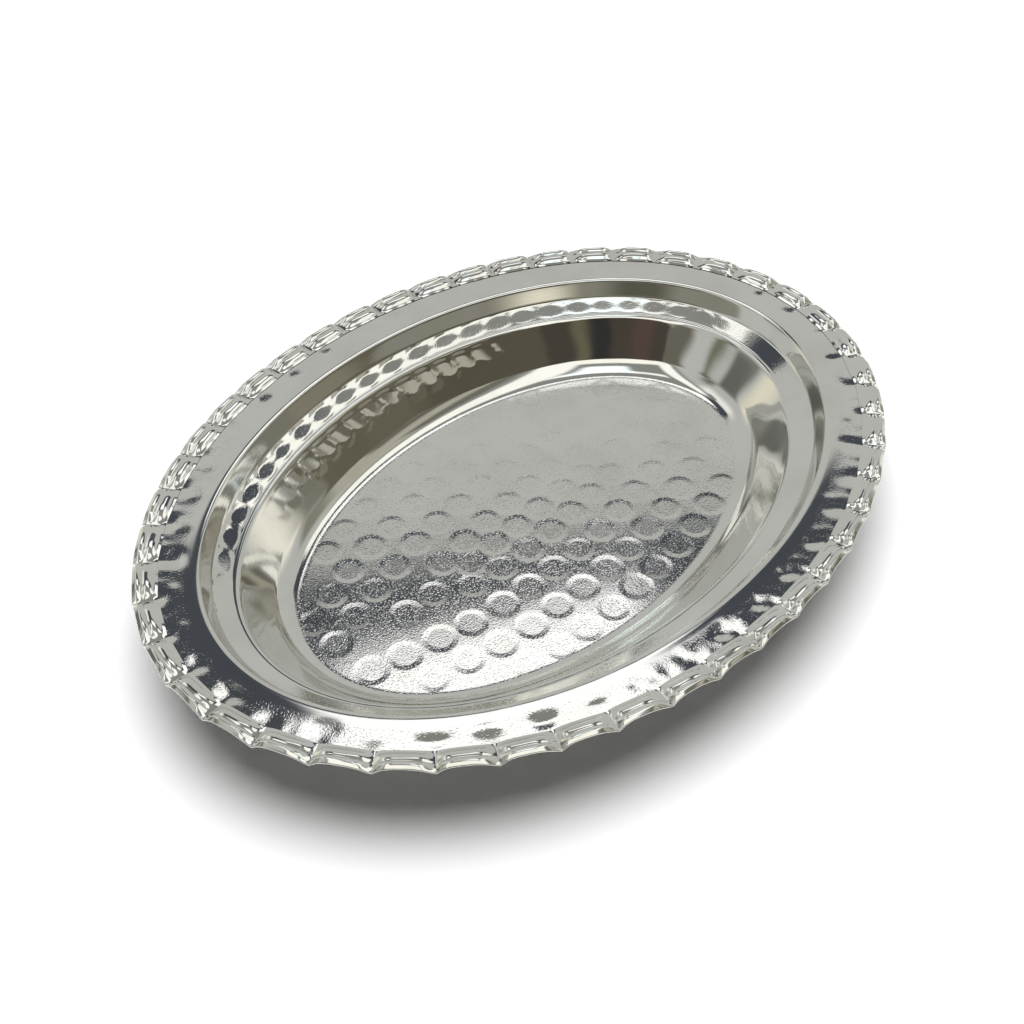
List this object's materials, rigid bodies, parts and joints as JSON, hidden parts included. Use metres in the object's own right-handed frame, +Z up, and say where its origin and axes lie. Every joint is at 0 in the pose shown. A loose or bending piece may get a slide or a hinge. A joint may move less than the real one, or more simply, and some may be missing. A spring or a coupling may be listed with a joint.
{
  "type": "oval meze dish",
  "caption": "Oval hammered metal serving dish: stepped well with a flat base, wide flange, and an applied fluted, double-reeded border round the rim.",
  "frame": {"origin": "on the surface the dish stands on, under the middle of the oval", "axes": "+X along the oval's length, +Y along its width, +Z up, out of the well"},
  "size_m": [0.2, 0.1496, 0.0224],
  "materials": {
    "hammered_sheet": "bright silver-coloured sheet, hand hammered on the base and the ledge",
    "border_strip": "bright silver-coloured strip, pressed into flutes and reeds"
  },
  "bodies": {
    "root": {"dish_body": "hammered_sheet", "rim_border": "border_strip"}
  },
  "joints": []
}
